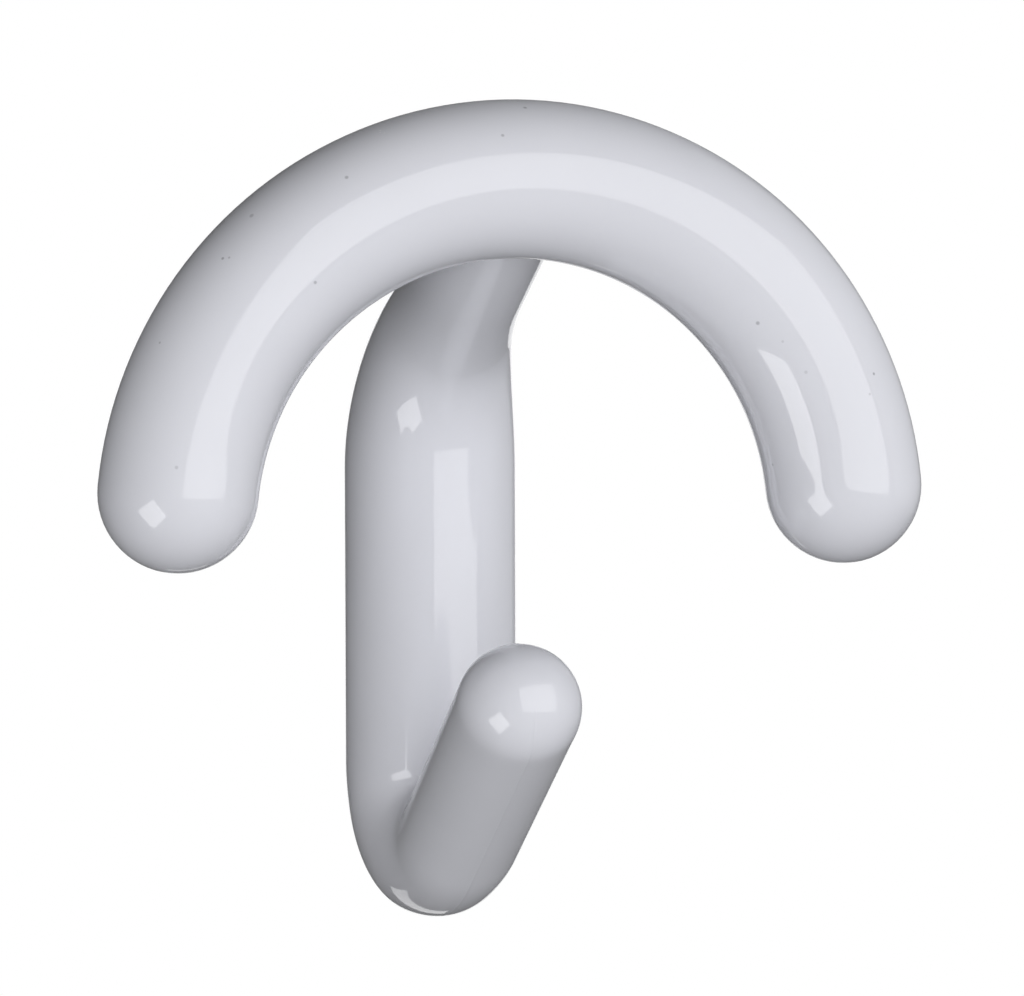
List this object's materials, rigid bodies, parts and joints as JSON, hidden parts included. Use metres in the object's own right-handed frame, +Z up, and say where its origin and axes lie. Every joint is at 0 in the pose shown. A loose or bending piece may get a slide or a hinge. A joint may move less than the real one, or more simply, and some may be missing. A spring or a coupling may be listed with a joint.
{
  "type": "hat and coat hook",
  "caption": "One-piece moulded hat and coat hook: an arched hat bar on a forward neck above a single upturned coat hook, with a flat back for the wall.",
  "frame": {"origin": "centre of the flat back, midway between the two screw holes", "axes": "+Z up along the stem, -Y out from the wall, X across; the wall is the plane y = 0"},
  "size_m": [0.1065, 0.064, 0.108],
  "materials": {
    "nylon": "glossy light grey-white moulded nylon"
  },
  "bodies": {
    "root": {"hook_body": "nylon"}
  },
  "joints": []
}
